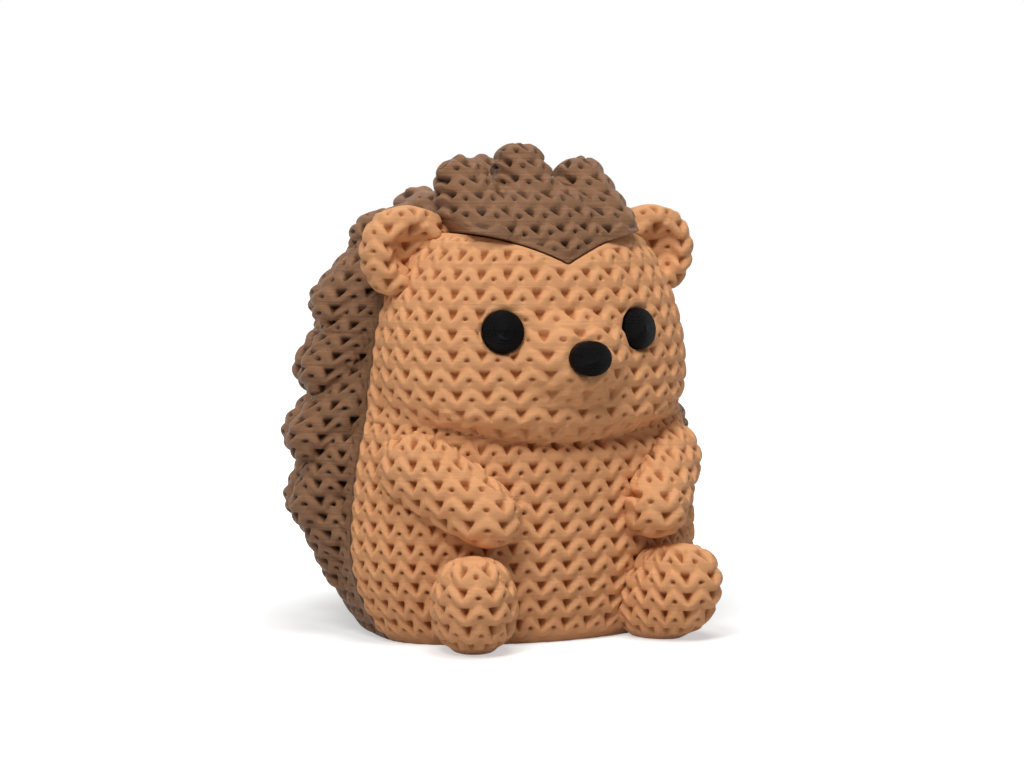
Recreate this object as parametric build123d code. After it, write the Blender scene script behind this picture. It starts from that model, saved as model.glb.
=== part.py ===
from build123d import *
import os
from math import asin, cos, pi, sin, sqrt

# All lengths are millimetres. The figure faces -Y and +Z is up.
# The origin is the middle of the body's flat base. "Forward" is measured from the joint plane,
# the upright plane where the quill back meets the body.

# Joint plane, gaps and cuts
joint_behind = 8.0  # joint plane behind the origin
joint_gap = 0.3  # between the body and the quill back, and round the dowels in it
seat_gap = 0.1  # glue line between a fixed piece and its seat
overrun = 2.0  # how far a cutting shape runs past what it cuts

# Torso, a pear that swells low and tapers up into the head
torso_half_width = 35.4
torso_forward = 20.0
torso_backward = 46.0
torso_height = 18.0  # height of its widest section
torso_below = 29.0
torso_above = 58.0

# Waist, which fills the flanks between torso and head
waist_half_width = 32.2
waist_forward = 15.0
waist_backward = 42.0
waist_height = 43.0
waist_half_height = 32.0

# Head, widest a little in front of the joint plane
head_middle_forward = 4.0
head_half_width = 31.2
head_forward = 22.8
head_backward = 43.0
head_height = 49.5
head_below = 20.5
head_above = 35.5

# Muzzle, the low swelling that carries the nose
muzzle_half_width = 12.0
muzzle_forward = 27.4
muzzle_root_forward = 12.0
muzzle_height = 52.8
muzzle_half_height = 9.8

# Hairline, a widow's peak seen from the front
hair_tip_height = 70.1
hair_top_height = 76.0
hair_half_width = 19.0
hair_middle_share = 0.5
hair_bow_share = 0.66

# Quill tufts on the back: level rows of rounded cones that droop
tuft_first_height = 12.5
tuft_row_pitch = 12.4
tuft_pitch = 13.5  # spacing round a row
tuft_start = 11.0  # first tuft of a row behind the joint plane
tuft_tip_radius = 4.6
tuft_root_radius = 7.5
tuft_lift = 4.4  # tip's ball centre outside the plain back
tuft_lift_shares = (-0.7, 0.75, 1.25, 1.15, 1.05)  # row by row, from the lowest up
tuft_sink = 2.5  # root's ball centre inside the plain back
tuft_rise = 9.0  # root above tip

# Top row of the back, longer tufts that lie over the crown
top_row_height = 74.5
top_row_pitch = 13.0
top_row_rise = 3.5
top_row_sink = 8.0
top_row_root_radius = 6.5

# Crown tufts, which stand up: a front row over the forehead and a second row behind it
crown_tip_radius = 4.8
crown_root_radius = 7.6
front_side_x = 12.4
front_side_top = 89.8
front_side_behind = 0.5
front_middle_top = 92.4
front_middle_behind = 1.5
front_root_forward = 9.5
front_root_height = 73.0
rear_side_x = 13.5
rear_side_top = 84.2
rear_middle_top = 90.2
rear_tip_behind = 17.0
rear_root_behind = 6.0
rear_root_height = 74.0

# Knit of the body: level rows of stitches, with a notch that points down between two stitches
row_pitch = 3.62
torso_row_height = 37.63  # top of its highest row of notches
torso_stitches = 41  # in a row once round
torso_stitch_turn = -3.7  # degrees, the place of a notch near the middle of that row
torso_stitch_lean = 0.42  # degrees from each row to the next one down
head_row_height = 40.52  # top of its lowest row of notches
head_stitches = 31
head_stitch_turn = 3.4
head_stitch_lean = 0.95
notch_width = 2.2
notch_height = 2.3
notch_depth = 1.1
notch_margin = 1.6  # plain edge at the seam, the hairline, the base and the plugs
notch_lean_share = 0.7  # steepest skin that carries notches, as the upright share of its normal

# Ears, cupped round discs that face forward
ear_x = 25.7
ear_height = 72.4
ear_forward = 3.6
ear_radius = 8.7
ear_thickness = 7.0
ear_dish_depth = 3.2
ear_peg_radius = 1.5
ear_peg_length = 9.0

# Arms
shoulder_x = 25.0
shoulder_forward = 8.4
shoulder_height = 32.4
shoulder_radius = 7.8
hand_x = 17.4
hand_forward = 20.6
hand_height = 24.4
hand_radius = 5.5
arm_peg_radius = 2.5
arm_peg_length = 11.0
arm_peg_start_share = 0.7  # of the arm's radius, outward from its middle line

# Feet, egg shapes with flat soles, toes up and splayed outward
foot_x = 20.2
foot_forward = 20.4
foot_half_width = 7.3
foot_half_length = 11.5
foot_half_height = 8.6
foot_middle_height = 8.4
foot_splay = 25.0  # degrees
foot_tilt = 35.0  # degrees, toes up
foot_peg_radius = 2.5
foot_peg_length = 17.0

# Eyes
eye_x = 14.1
eye_height = 58.2
eye_radius = 3.75
eye_edge = 0.5  # straight edge that shows
eye_dome = 1.5
eye_seat = 1.4  # depth of the pocket under the surface
eye_stem_radius = 2.2
eye_stem_length = 5.0
eye_gap = 0.2  # open line round the eyes and the nose

# Nose, an oval dome
nose_height = 53.4
nose_half_width = 3.8
nose_half_height = 3.2
nose_edge = 0.6
nose_dome = 2.8
nose_seat = 1.4
nose_stem_radius = 1.8
nose_stem_length = 5.0

# Dowels across the joint plane
dowel_radius = 3.0
dowel_in_body = 10.0
dowel_in_quills = 9.0
low_dowel_x = 16.0
low_dowel_height = 18.0
high_dowel_height = 56.0

RIGHT, LEFT = -1, 1


def at(x, forward, height):
    return Vector(x, joint_behind - forward, height)


def ball(half_width, forward, backward, below, above):
    """A swollen ball whose reach differs forward, backward, below and above its middle."""
    quarters = []
    for reach, turn in ((forward, 180), (backward, 0)):
        for span, low, high in ((below, -90, 0), (above, 0, 90)):
            quarter = Rot(Z=turn) * Sphere(1, low, high, 180, align=None)
            quarters.append(scale(quarter, by=(half_width, reach, span)))
    return quarters[0].fuse(*quarters[1:])


def torso(grow=0):
    swell = ball(
        torso_half_width + grow, torso_forward + grow, torso_backward, torso_below + grow, torso_above + grow
    )
    return Pos(at(0, 0, torso_height)) * swell


def waist(grow=0):
    half_height = waist_half_height + grow
    swell = ball(waist_half_width + grow, waist_forward + grow, waist_backward, half_height, half_height)
    return Pos(at(0, 0, waist_height)) * swell


def head(grow=0):
    forward = head_forward - head_middle_forward + grow
    backward = head_backward + head_middle_forward
    swell = ball(head_half_width + grow, forward, backward, head_below + grow, head_above + grow)
    return Pos(at(0, head_middle_forward, head_height)) * swell


def muzzle(grow=0):
    reach = muzzle_forward - muzzle_root_forward + grow
    half_height = muzzle_half_height + grow
    swell = ball(muzzle_half_width + grow, reach, reach, half_height, half_height)
    return Pos(at(0, muzzle_root_forward, muzzle_height)) * swell


def whole_shape(grow=0):
    """Torso, waist, head and muzzle as one plain form, front and back."""
    return torso(grow).fuse(waist(grow), head(grow), muzzle(grow))


def rounded_cone(start, start_radius, end, end_radius):
    """A solid of revolution with a ball at each end."""
    along = end - start
    length = along.length
    lean = asin((start_radius - end_radius) / length)

    def on_ball(centre, radius, angle):
        return (radius * cos(angle), centre + radius * sin(angle))

    start_arc = ThreePointArc(
        on_ball(0, start_radius, -pi / 2),
        on_ball(0, start_radius, (lean - pi / 2) / 2),
        on_ball(0, start_radius, lean),
    )
    end_arc = ThreePointArc(
        on_ball(length, end_radius, lean),
        on_ball(length, end_radius, (lean + pi / 2) / 2),
        on_ball(length, end_radius, pi / 2),
    )
    side = Line(start_arc @ 1, end_arc @ 0)
    spine = Line(end_arc @ 1, start_arc @ 0)
    section = Plane.XZ * make_face([start_arc, side, end_arc, spine])
    return Plane(origin=start, z_dir=along) * revolve(section, Axis.Z)


def rod(start, direction, length, radius):
    """A round bar from a point, along a direction."""
    bar = Cylinder(radius, length, align=(Align.CENTER, Align.CENTER, Align.MIN))
    return Plane(origin=start, z_dir=direction) * bar


def hairline_block(raise_by, behind):
    """Everything under the hairline, from the floor up and from `behind` the joint plane forward."""
    side = torso_half_width + overrun
    tip = (0, hair_tip_height + raise_by)
    top = hair_top_height + raise_by
    bow = hair_tip_height + hair_bow_share * (hair_top_height - hair_tip_height) + raise_by
    arcs = []
    for x in (RIGHT, LEFT):
        middle = (x * hair_middle_share * hair_half_width, bow)
        arcs.append(ThreePointArc(tip, middle, (x * hair_half_width, top)))
    outline = Polyline(
        (-hair_half_width, top), (-side, top), (-side, 0), (side, 0), (side, top), (hair_half_width, top)
    )
    section = Plane.XZ * make_face([outline] + arcs)
    depth = behind + muzzle_forward + overrun
    return Pos(at(0, -behind, 0)) * extrude(section, amount=depth)


# Body: torso, head and muzzle in front of the joint plane, under the hairline
def plain_body(grow=0):
    return whole_shape(grow) & hairline_block(0, 0)


# Ears
def ear_disc(side):
    half = ear_thickness / 2
    rim = ear_radius - half
    rear = Line((0, -half), (rim, -half))
    edge = ThreePointArc((rim, -half), (ear_radius, 0), (rim, half))
    dish = TangentArc((0, half - ear_dish_depth), (rim, half), tangent=(1, 0))
    spine = Line((0, half - ear_dish_depth), (0, -half))
    disc = revolve(Plane.XZ * make_face([rear, edge, dish, spine]), Axis.Z)
    return Plane(origin=at(side * ear_x, ear_forward, ear_height), z_dir=(0, -1, 0)) * disc


def ear_room(side):
    """Space that the quill back leaves round an ear, so that it can be drawn straight back."""
    rear = ear_forward - ear_thickness / 2 - joint_gap
    start = at(side * ear_x, rear, ear_height)
    return rod(start, (0, -1, 0), head_forward + overrun, ear_radius + joint_gap)


def ear_peg(side, grow=0):
    rim = ear_radius - ear_thickness / 2
    start = at(side * (ear_x + ear_peg_radius), ear_forward, ear_height - rim)
    return rod(start, (-side, 0, 0), ear_peg_length + grow, ear_peg_radius + grow)


# Arms
def arm_limb(side):
    shoulder = at(side * shoulder_x, shoulder_forward, shoulder_height)
    hand = at(side * hand_x, hand_forward, hand_height)
    return rounded_cone(shoulder, shoulder_radius, hand, hand_radius)


def arm_peg(side, grow=0):
    middle_x = (shoulder_x + hand_x) / 2
    middle_forward = (shoulder_forward + hand_forward) / 2
    middle_height = (shoulder_height + hand_height) / 2
    inward = Vector(-side * middle_x / torso_half_width**2, middle_forward / torso_forward**2, 0)
    out = arm_peg_start_share * (shoulder_radius + hand_radius) / 2
    start = at(side * middle_x, middle_forward, middle_height) - inward.normalized() * out
    return rod(start, inward, arm_peg_length + grow, arm_peg_radius + grow)


# Feet
def foot_turn(side):
    return Pos(at(side * foot_x, foot_forward, 0)) * Rot(Z=side * foot_splay)


def foot_ball(side):
    egg = scale(Sphere(1), by=(foot_half_width, foot_half_length, foot_half_height))
    egg = Pos(0, 0, foot_middle_height) * Rot(X=-foot_tilt) * egg
    room = foot_half_length * 4
    floor = Box(room, room, foot_half_length, align=(Align.CENTER, Align.CENTER, Align.MAX))
    return foot_turn(side) * (egg - floor)


def foot_peg(side, grow=0):
    bar = rod((0, 0, foot_middle_height), (0, 1, 0), foot_peg_length + grow, foot_peg_radius + grow)
    return foot_turn(side) * bar


# Eyes and nose
def eye_plane(side):
    """Plane on the head's surface, facing out."""
    x = side * eye_x
    z = eye_height - head_height
    reach = head_forward - head_middle_forward
    forward = reach * sqrt(1 - (x / head_half_width) ** 2 - (z / head_above) ** 2)
    outward = Vector(x / head_half_width**2, -forward / reach**2, z / head_above**2)
    return Plane(origin=at(x, head_middle_forward + forward, eye_height), z_dir=outward)


def eye_plug(side):
    top = eye_edge + eye_dome
    outline = Polyline(
        (0, top),
        (0, -eye_stem_length),
        (eye_stem_radius, -eye_stem_length),
        (eye_stem_radius, -eye_seat),
        (eye_radius, -eye_seat),
        (eye_radius, eye_edge),
    )
    dome = TangentArc((0, top), (eye_radius, eye_edge), tangent=(1, 0))
    return eye_plane(side) * revolve(Plane.XZ * make_face([outline, dome]), Axis.Z)


def eye_room(side):
    pocket = rod((0, 0, -eye_seat - seat_gap), (0, 0, 1), eye_seat + overrun, eye_radius + eye_gap)
    hole = rod((0, 0, overrun), (0, 0, -1), eye_stem_length + overrun + seat_gap, eye_stem_radius + seat_gap)
    return eye_plane(side) * (pocket + hole)


def eye_collar(side):
    """The plain ring of skin round an eye."""
    return eye_plane(side) * Sphere(eye_radius + eye_gap + notch_margin)


def nose_plane():
    z = (nose_height - muzzle_height) / muzzle_half_height
    reach = (muzzle_forward - muzzle_root_forward) * sqrt(1 - z**2)
    return Plane(origin=at(0, muzzle_root_forward + reach, nose_height), x_dir=(1, 0, 0), z_dir=(0, -1, 0))


def nose_plug():
    dome = scale(Sphere(1, 0, 90, align=None), by=(nose_half_width, nose_half_height, nose_dome))
    edge = extrude(Ellipse(nose_half_width, nose_half_height), amount=nose_edge + nose_seat)
    stem = rod((0, 0, 0), (0, 0, -1), nose_stem_length, nose_stem_radius)
    return nose_plane() * (Pos(0, 0, nose_edge) * dome + Pos(0, 0, -nose_seat) * edge + stem)


def nose_room():
    oval = Ellipse(nose_half_width + eye_gap, nose_half_height + eye_gap)
    pocket = Pos(0, 0, -nose_seat - seat_gap) * extrude(oval, amount=nose_seat + overrun)
    hole = rod((0, 0, overrun), (0, 0, -1), nose_stem_length + overrun + seat_gap, nose_stem_radius + seat_gap)
    return nose_plane() * (pocket + hole)


def nose_collar():
    """The plain ring of skin round the nose."""
    return nose_plane() * Sphere(nose_half_width + eye_gap + notch_margin)


# Knit
def notch(point, normal):
    """A three-cornered pocket, its flat edge up, that reaches into the skin at a point."""
    across = Vector(0, 0, 1).cross(normal)
    plane = Plane(origin=point - normal * notch_depth, x_dir=across, z_dir=normal)
    corners = ((-notch_width / 2, 0), (0, -notch_height), (notch_width / 2, 0))
    return extrude(plane * Polygon(*corners, align=None), amount=2 * notch_depth)


def row_rays(centre, half_width, reach, stitches, turn):
    """Level lines outward through the notches of one row, over its front half."""
    rays = []
    for step in range(stitches):
        angle = turn * pi / 180 + 2 * pi * step / stitches
        if cos(angle) > 0:
            rays.append(Axis(centre, Vector(half_width * sin(angle), -reach * cos(angle), 0)))
    return rays


def knit_rays():
    rays = []
    for row in range(int(torso_row_height / row_pitch)):
        centre = at(0, 0, torso_row_height - row * row_pitch)
        turn = torso_stitch_turn + row * torso_stitch_lean
        rays += row_rays(centre, torso_half_width, torso_forward, torso_stitches, turn)
    for row in range(int((hair_top_height - head_row_height) / row_pitch)):
        centre = at(0, head_middle_forward, head_row_height + row * row_pitch)
        turn = head_stitch_turn - row * head_stitch_lean
        reach = head_forward - head_middle_forward
        rays += row_rays(centre, head_half_width, reach, head_stitches, turn)
    return rays


def notches(skin):
    """The notches that show: clear of the edges, and not under a limb or a plug."""
    covers = [nose_collar()]
    for side in (RIGHT, LEFT):
        covers += [arm_limb(side), foot_ball(side), ear_disc(side), eye_collar(side)]
    inner = hairline_block(-notch_margin, -notch_margin)
    found = []
    for ray in knit_rays():
        point, normal = skin.find_intersection_points(ray)[-1]
        clear = inner.is_inside(point) and point.Z > notch_height + notch_margin
        upright = abs(normal.Z) < notch_lean_share
        if clear and upright and not any(cover.is_inside(point) for cover in covers):
            found.append(notch(point, normal))
    return found


# Dowels
dowel_places = [(-low_dowel_x, low_dowel_height), (low_dowel_x, low_dowel_height), (0, high_dowel_height)]


def dowel(place, grow_in_body=0, grow_in_quills=0, end_room=0):
    x, height = place
    in_body = rod(at(x, 0, height), (0, -1, 0), dowel_in_body + end_room, dowel_radius + grow_in_body)
    in_quills = rod(at(x, 0, height), (0, 1, 0), dowel_in_quills + end_room, dowel_radius + grow_in_quills)
    return in_body + in_quills


# Quill back
def back_section(height):
    """Half-width and depth of the plain back at a height: the larger of torso and head."""
    sections = []
    for middle, below, above, half_width, reach in (
        (torso_height, torso_below, torso_above, torso_half_width, torso_backward),
        (head_height, head_below, head_above, head_half_width, head_backward),
    ):
        span = above if height > middle else below
        share = sqrt(max(0, 1 - ((height - middle) / span) ** 2))
        sections.append((half_width * share, reach * share))
    return max(sections)


def back_point(angle, height, out):
    """Point on the plain back at an angle from its right edge round to its left, moved straight out."""
    half_width, reach = back_section(height)
    normal = Vector(-cos(angle) * reach, sin(angle) * half_width, 0).normalized()
    return at(-half_width * cos(angle), -reach * sin(angle), height) + normal * out


def tuft_ring(height, pitch, rise, sink, lift, root_radius):
    """A level row of drooping tufts from one flank round the back to the other."""
    half_width, reach = back_section(height)
    first = asin(tuft_start / reach)
    around = (pi - 2 * first) * sqrt((half_width**2 + reach**2) / 2)
    steps = 2 * round(around / pitch / 2)
    tufts = []
    for step in range(steps + 1):
        angle = first + (pi - 2 * first) * step / steps
        tip = back_point(angle, height, lift)
        root = back_point(angle, height + rise, -sink)
        tufts.append(rounded_cone(root, root_radius, tip, tuft_tip_radius))
    return tufts


def drooping_tufts():
    tufts = tuft_ring(
        top_row_height, top_row_pitch, top_row_rise, top_row_sink, tuft_lift, top_row_root_radius
    )
    for row, share in enumerate(tuft_lift_shares):
        height = tuft_first_height + row * tuft_row_pitch
        tufts += tuft_ring(height, tuft_pitch, tuft_rise, tuft_sink, share * tuft_lift, tuft_root_radius)
    return tufts


def crown_tufts():
    tufts = []
    for side in (RIGHT, 0, LEFT):
        front_top = front_side_top if side else front_middle_top
        front_behind = front_side_behind if side else front_middle_behind
        root = at(side * front_side_x, front_root_forward, front_root_height)
        tip = at(side * front_side_x, -front_behind, front_top - crown_tip_radius)
        tufts.append(rounded_cone(root, crown_root_radius, tip, crown_tip_radius))
        rear_top = rear_side_top if side else rear_middle_top
        root = at(side * rear_side_x, -rear_root_behind, rear_root_height)
        tip = at(side * rear_side_x, -rear_tip_behind, rear_top - crown_tip_radius)
        tufts.append(rounded_cone(root, crown_root_radius, tip, crown_tip_radius))
    return tufts


def quill_shell():
    shell = whole_shape().fuse(*drooping_tufts(), *crown_tufts())
    floor = Pos(at(0, 0, 0)) * Box(
        torso_half_width * 4, torso_backward * 4, torso_below, align=(Align.CENTER, Align.CENTER, Align.MAX)
    )
    shell = shell - hairline_block(joint_gap, joint_gap) - floor
    for side in (RIGHT, LEFT):
        shell -= ear_room(side)
    for place in dowel_places:
        shell -= dowel(place, grow_in_quills=joint_gap, end_room=joint_gap)
    return shell


def body():
    skin = plain_body()
    solid = skin.cut(*notches(skin))
    for side in (RIGHT, LEFT):
        for room in (ear_peg(side, seat_gap), arm_peg(side, seat_gap), foot_peg(side, seat_gap), eye_room(side)):
            solid -= room
    solid -= nose_room()
    for place in dowel_places:
        solid -= dowel(place, grow_in_body=seat_gap, end_room=seat_gap)
    return solid


seat = plain_body(seat_gap)
parts = {"body": body(), "quill_shell": quill_shell(), "nose": nose_plug()}
for name, side in (("right", RIGHT), ("left", LEFT)):
    parts["ear_" + name] = ear_disc(side) - seat + ear_peg(side)
    parts["arm_" + name] = arm_limb(side) - seat + arm_peg(side)
    parts["foot_" + name] = foot_ball(side) - seat + foot_peg(side)
    parts["eye_" + name] = eye_plug(side)
parts["quill_dowels"] = Compound(children=[dowel(place) for place in dowel_places])

os.makedirs("parts", exist_ok=True)
for name, shape in parts.items():
    export_step(shape, "parts/" + name + ".step")
    print(name, len(shape.solids()), "solid(s),", round(shape.volume / 1000, 2), "cm3")
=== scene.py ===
# %% [markdown]
# # A printed hedgehog with a knitted look
# The real object is a small plastic figure, printed in layers, whose surface imitates knitting. The CAD
# model gives its plain forms: body, quill back, ears, arms, feet, eyes and nose. This lesson lays the
# stitches on them as real geometry, then gives them the finish of a print. Stitches could also come from
# a material alone, but then every outline would stay smooth, and on this figure they show along the
# outline.

# %% Load the frame
import math
import bpy
import numpy as np
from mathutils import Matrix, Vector


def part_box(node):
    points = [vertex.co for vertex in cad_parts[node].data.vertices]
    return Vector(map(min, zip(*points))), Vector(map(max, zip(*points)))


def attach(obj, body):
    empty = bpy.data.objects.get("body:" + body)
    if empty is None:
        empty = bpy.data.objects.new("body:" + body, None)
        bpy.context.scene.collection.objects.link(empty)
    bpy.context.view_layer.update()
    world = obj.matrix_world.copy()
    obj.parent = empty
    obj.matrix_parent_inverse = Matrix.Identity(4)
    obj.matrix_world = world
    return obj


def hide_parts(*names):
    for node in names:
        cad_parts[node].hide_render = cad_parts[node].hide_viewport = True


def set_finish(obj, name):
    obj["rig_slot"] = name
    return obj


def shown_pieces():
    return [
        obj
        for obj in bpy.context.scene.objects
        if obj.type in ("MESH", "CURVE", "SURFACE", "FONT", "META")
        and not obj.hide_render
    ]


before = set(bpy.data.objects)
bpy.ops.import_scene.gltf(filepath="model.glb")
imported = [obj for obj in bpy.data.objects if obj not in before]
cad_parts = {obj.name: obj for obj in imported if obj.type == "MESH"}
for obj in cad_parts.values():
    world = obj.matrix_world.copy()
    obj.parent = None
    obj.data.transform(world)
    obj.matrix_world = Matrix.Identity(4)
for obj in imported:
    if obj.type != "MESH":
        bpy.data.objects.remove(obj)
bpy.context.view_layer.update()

# Blender measures in metres. Sizes and places here are in millimetres, unless a comment says metres.
mm_per_metre = 1000

# %% [markdown]
# ## The stitch
# On the real figure each row of knitting is a plump zigzag band. A wide notch that points down lies in
# each dip of the band, and half a stitch further along lies a small pinhole. One could model a single
# stitch and copy it hundreds of times, but each copy would have to bend over the curve that it lies on.
# Here a formula gives the height at any place, from a count of stitches along the row and a count of rows
# down, so the same stitch can be laid on any form and at any size.

# %% Stitch height
# Places and widths within one stitch are shares of a row; heights and depths are mm at size 1
ridge_place, ridge_swing = 0.46, 0.3
ridge_straight, ridge_round = 0.55, 0.45
ridge_below, ridge_above = 0.42, 0.24
ridge_tall, swell_tall, swell_lean = 0.68, 0.14, 1.4
notch_tall, notch_half, notch_deep = 0.66, 0.225, 1.3
notch_wall, notch_top = (-0.1, 0.03), (-0.02, 0.2)
pin_place, pin_wide, pin_tall, pin_deep = 0.52, 0.16, 0.12, 0.95
pin_wall = (0.2, 1.2)


def ease(low, high, x):
    """Goes smoothly from 0 at low to 1 at high."""
    t = np.clip((x - low) / (high - low), 0, 1)
    return t * t * (3 - 2 * t)


def stitch_height(along, down, size, wide=1.5, plump=1.0):
    """Height in mm over the plain form, and how far inside a hole the point lies (0 to 1).

    along counts stitches and down counts rows; wide is a stitch's width in rows, size its scale, and plump
    how far its ridges stand out.
    """
    x = np.mod(along + 0.5, 1) - 0.5
    t = np.mod(down, 1)
    # The ridge runs below each notch and above each pinhole, steep on its upper side
    saw = 1 - 4 * np.abs(x)
    zigzag = ridge_straight * saw + ridge_round * np.sin(np.pi / 2 * saw)
    below = np.mod(t - ridge_place - ridge_swing * zigzag, 1)
    ridge = np.maximum(np.exp(-((below / ridge_below) ** 2)), np.exp(-(((1 - below) / ridge_above) ** 2)))
    height = size * plump * (ridge_tall * ridge + swell_tall * np.sin(np.pi * t**swell_lean))
    # The notch is a triangle with its point down: a soft upper edge, and sharp sides that meet in a V
    half = notch_half * wide
    slope = notch_tall / math.hypot(notch_tall, half)
    gap = (np.abs(x) * wide - half * (notch_tall - t) / notch_tall) * slope
    notch = (1 - ease(*notch_wall, gap)) * ease(*notch_top, t)
    # The pinhole lies between two notches
    from_pin = np.hypot((0.5 - np.abs(x)) * wide / pin_wide, (t - pin_place) / pin_tall)
    pin = 1 - ease(*pin_wall, from_pin)
    return height - size * (notch_deep * notch + pin_deep * pin), np.maximum(notch, pin)


steps = np.linspace(0, 1, 60)
sample = stitch_height(steps[None, :], steps[:, None], 1.0)[0]
print("stitch relief from", round(float(sample.min()), 2), "to", round(float(sample.max()), 2), "mm")

# %% [markdown]
# ## Uneven rows
# No row on the figure is quite straight. Random numbers or a noise texture could shake the rows, but a
# sum of three slow waves is enough, is smooth everywhere, and gives the same figure each time the lesson
# runs.

# %% Unevenness
# For each wave: radians per mm along a and along b, and a factor on where it starts
waves = ((0.31, 0.17, 1.0), (-0.13, 0.37, 2.1), (0.23, -0.29, 3.3))
seed_step = 1.7


def wander(a, b, seed):
    """A slow, repeatable unevenness between -1 and 1."""
    start = seed * seed_step
    return sum(np.sin(u * a + v * b + w * start) for u, v, w in waves) / len(waves)


print("unevenness at one place:", round(float(wander(10.0, 20.0, seed=2)), 2))

# %% [markdown]
# ## Dense copies
# A stitch is four or five millimetres wide and its details are a few tenths, so the relief needs many
# small faces, far more than a CAD mesh has on a smooth wall. Subdividing would only split the CAD mesh's
# long thin triangles into more thin ones. A voxel remesh rebuilds the skin from even quads instead, so
# each piece begins as such a copy of its CAD node.

# %% Copies and skins
fine = 0.00025  # width of a quad, in metres


def evaluated(obj):
    """The object's mesh with its modifiers applied."""
    graph = bpy.context.evaluated_depsgraph_get()
    return bpy.data.meshes.new_from_object(obj.evaluated_get(graph))


def apply_modifiers(obj):
    mesh = evaluated(obj)
    obj.modifiers.clear()
    obj.data = mesh


def reskin(obj, voxel):
    """Rebuilds the skin from even quads of one size."""
    remesh = obj.modifiers.new("skin", "REMESH")
    remesh.mode = "VOXEL"
    remesh.voxel_size = voxel
    apply_modifiers(obj)


def new_object(name, data):
    """An object for a mesh, a lamp or a camera, put into the scene."""
    obj = bpy.data.objects.new(name, data)
    bpy.context.scene.collection.objects.link(obj)
    return obj


def dense_copy(node, name, voxel):
    obj = new_object(name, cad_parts[node].data.copy())
    obj.data.materials.clear()
    reskin(obj, voxel)
    return obj


print("skins have quads", round(fine * mm_per_metre, 2), "mm wide")

# %% [markdown]
# ## Points as arrays
# A mesh holds its points one by one, and moving hundreds of thousands of them in a Python loop would take
# minutes. foreach_get and foreach_set hand all of them over as one numpy array, so a whole piece is moved
# by a few lines of arithmetic. Geometry nodes are as fast, but a long formula is easier to read as code.

# %% Points
def points(obj):
    """All points of a mesh, in mm, one row each."""
    flat = np.empty(len(obj.data.vertices) * 3)
    obj.data.vertices.foreach_get("co", flat)
    return flat.reshape(-1, 3) * mm_per_metre


def place(obj, p):
    obj.data.vertices.foreach_set("co", (p / mm_per_metre).ravel())
    obj.data.update()


def normals(obj):
    flat = np.empty(len(obj.data.vertices) * 3)
    obj.data.vertex_normals.foreach_get("vector", flat)
    return flat.reshape(-1, 3)


print("the CAD body has", len(points(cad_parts["body"])), "points")

# %% [markdown]
# ## Smoothing
# A print has no sharp creases, because the plastic flows a little before it sets. The Smooth modifier can
# round them, with a vertex group that says where. Here the weights are at hand as an array already, so
# each point is simply moved towards the mean of its neighbours, as often as needed.

# %% Smoothing
smooth_step = 0.5


def edge_ends(obj):
    flat = np.empty(len(obj.data.edges) * 2, np.int64)
    obj.data.edges.foreach_get("vertices", flat)
    return flat[0::2], flat[1::2]


def relax(obj, rounds, share):
    """Smooths the skin; share is how far each point follows its neighbours."""
    p = points(obj)
    a, b = edge_ends(obj)
    count = np.bincount(a, minlength=len(p)) + np.bincount(b, minlength=len(p))
    for _ in range(rounds):
        mean = np.empty_like(p)
        for k in range(3):
            mean[:, k] = (np.bincount(a, p[b, k], len(p)) + np.bincount(b, p[a, k], len(p))) / count
        p += share[:, None] * smooth_step * (mean - p)
    place(obj, p)
    return p


print("a round of smoothing moves a point", smooth_step, "of the way to its neighbours' mean")

# %% [markdown]
# ## Length along level lines
# Rows run level round every tuft and limb, and their stitches keep about one width. An angle round an
# axis would give wide stitches far from the axis and narrow ones close to it. So the length is fitted to
# the skin itself: each edge of the mesh says how much further along its one end lies than its other, and
# the method of conjugate gradients finds the lengths that agree best with all the edges.

# %% Level lengths
quill_rounds = 140
limb_rounds = 120
flat_normal = 0.3  # a normal that leans out less than this is on a nearly level face
least_power = 1e-12


def level_length(obj, guess, sense, region, rounds):
    """Length along the level lines of a skin, in mm, fitted by least squares from a first guess.

    sense is 1 where the length grows anticlockwise as seen from above, -1 where it grows clockwise, and 0
    where the skin takes no part, so that no line closes on itself. Each region is measured by itself.
    """
    p, n = points(obj), normals(obj)
    a, b = edge_ends(obj)
    part = (sense[a] != 0) & (sense[b] != 0) & (region[a] == region[b])
    a, b = a[part], b[part]
    across = np.stack([-n[:, 1], n[:, 0]], axis=1)
    across *= (sense / np.maximum(np.linalg.norm(across, axis=1), flat_normal))[:, None]
    want = 0.5 * ((across[a] + across[b]) * (p[b] - p[a])[:, :2]).sum(axis=1)

    def spread(on_edges):
        return np.bincount(b, on_edges, len(p)) - np.bincount(a, on_edges, len(p))

    length = guess.copy()
    rest = spread(want - (length[b] - length[a]))
    way = rest.copy()
    power = rest @ rest
    for _ in range(rounds):
        moved = spread(way[b] - way[a])
        step = power / max(way @ moved, least_power)
        length += step * way
        rest -= step * moved
        power, before = rest @ rest, power
        way = rest + way * (power / before)
    return length


print("lengths are fitted in", quill_rounds, "rounds on the quill back and", limb_rounds, "on a limb")
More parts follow.
